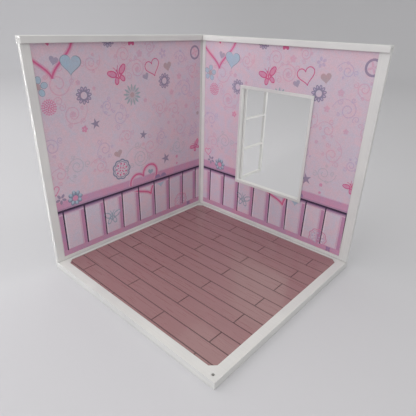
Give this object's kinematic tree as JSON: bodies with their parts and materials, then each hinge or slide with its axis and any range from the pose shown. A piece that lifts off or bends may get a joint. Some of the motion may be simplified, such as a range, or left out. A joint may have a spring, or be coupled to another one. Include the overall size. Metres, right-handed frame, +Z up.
{
  "type": "dolls house corner room box",
  "caption": "Open corner room box for a dolls' house: base with inset plank floor, papered side wall and window wall, mitred cap rails and outward-opening casement window.",
  "frame": {"origin": "middle of the base's underside", "axes": "+Z up; the window wall stands on the +Y side and its casement leaves open towards +Y; the side wall stands on the -X side; the room is open towards +X and -Y"},
  "size_m": [0.208, 0.2437, 0.2067],
  "materials": {
    "white_plastic": "printed white, fine layer lines",
    "plank_board": "rosy-brown sheet scored with plank lines, satin",
    "printed_paper": "pink and lilac printed paper, matt",
    "pin_wire": "drawn wire"
  },
  "bodies": {
    "box": {"base_plate": "white_plastic", "floor_panel": "plank_board", "side_wall": "white_plastic", "window_wall": "white_plastic", "side_wallpaper": "printed_paper", "window_wallpaper": "printed_paper", "side_cap_rail": "white_plastic", "window_cap_rail": "white_plastic", "window_casing": "white_plastic", "window_frame": "white_plastic"},
    "left_leaf": {"left_casement_leaf": "white_plastic", "left_lower_hinge_pin": "pin_wire", "left_upper_hinge_pin": "pin_wire"},
    "right_leaf": {"right_casement_leaf": "white_plastic", "right_lower_hinge_pin": "pin_wire", "right_upper_hinge_pin": "pin_wire"}
  },
  "joints": [
    {"name": "left_casement_hinge", "type": "hinge", "parent": "box", "child": "left_leaf", "pos_m": [-0.0398, 0.1027, 0.1077], "axis": [0, 0, 1], "range_deg": [-90, 0]},
    {"name": "right_casement_hinge", "type": "hinge", "parent": "box", "child": "right_leaf", "pos_m": [0.041, 0.1027, 0.1077], "axis": [0, 0, 1], "range_deg": [0, 90]}
  ]
}
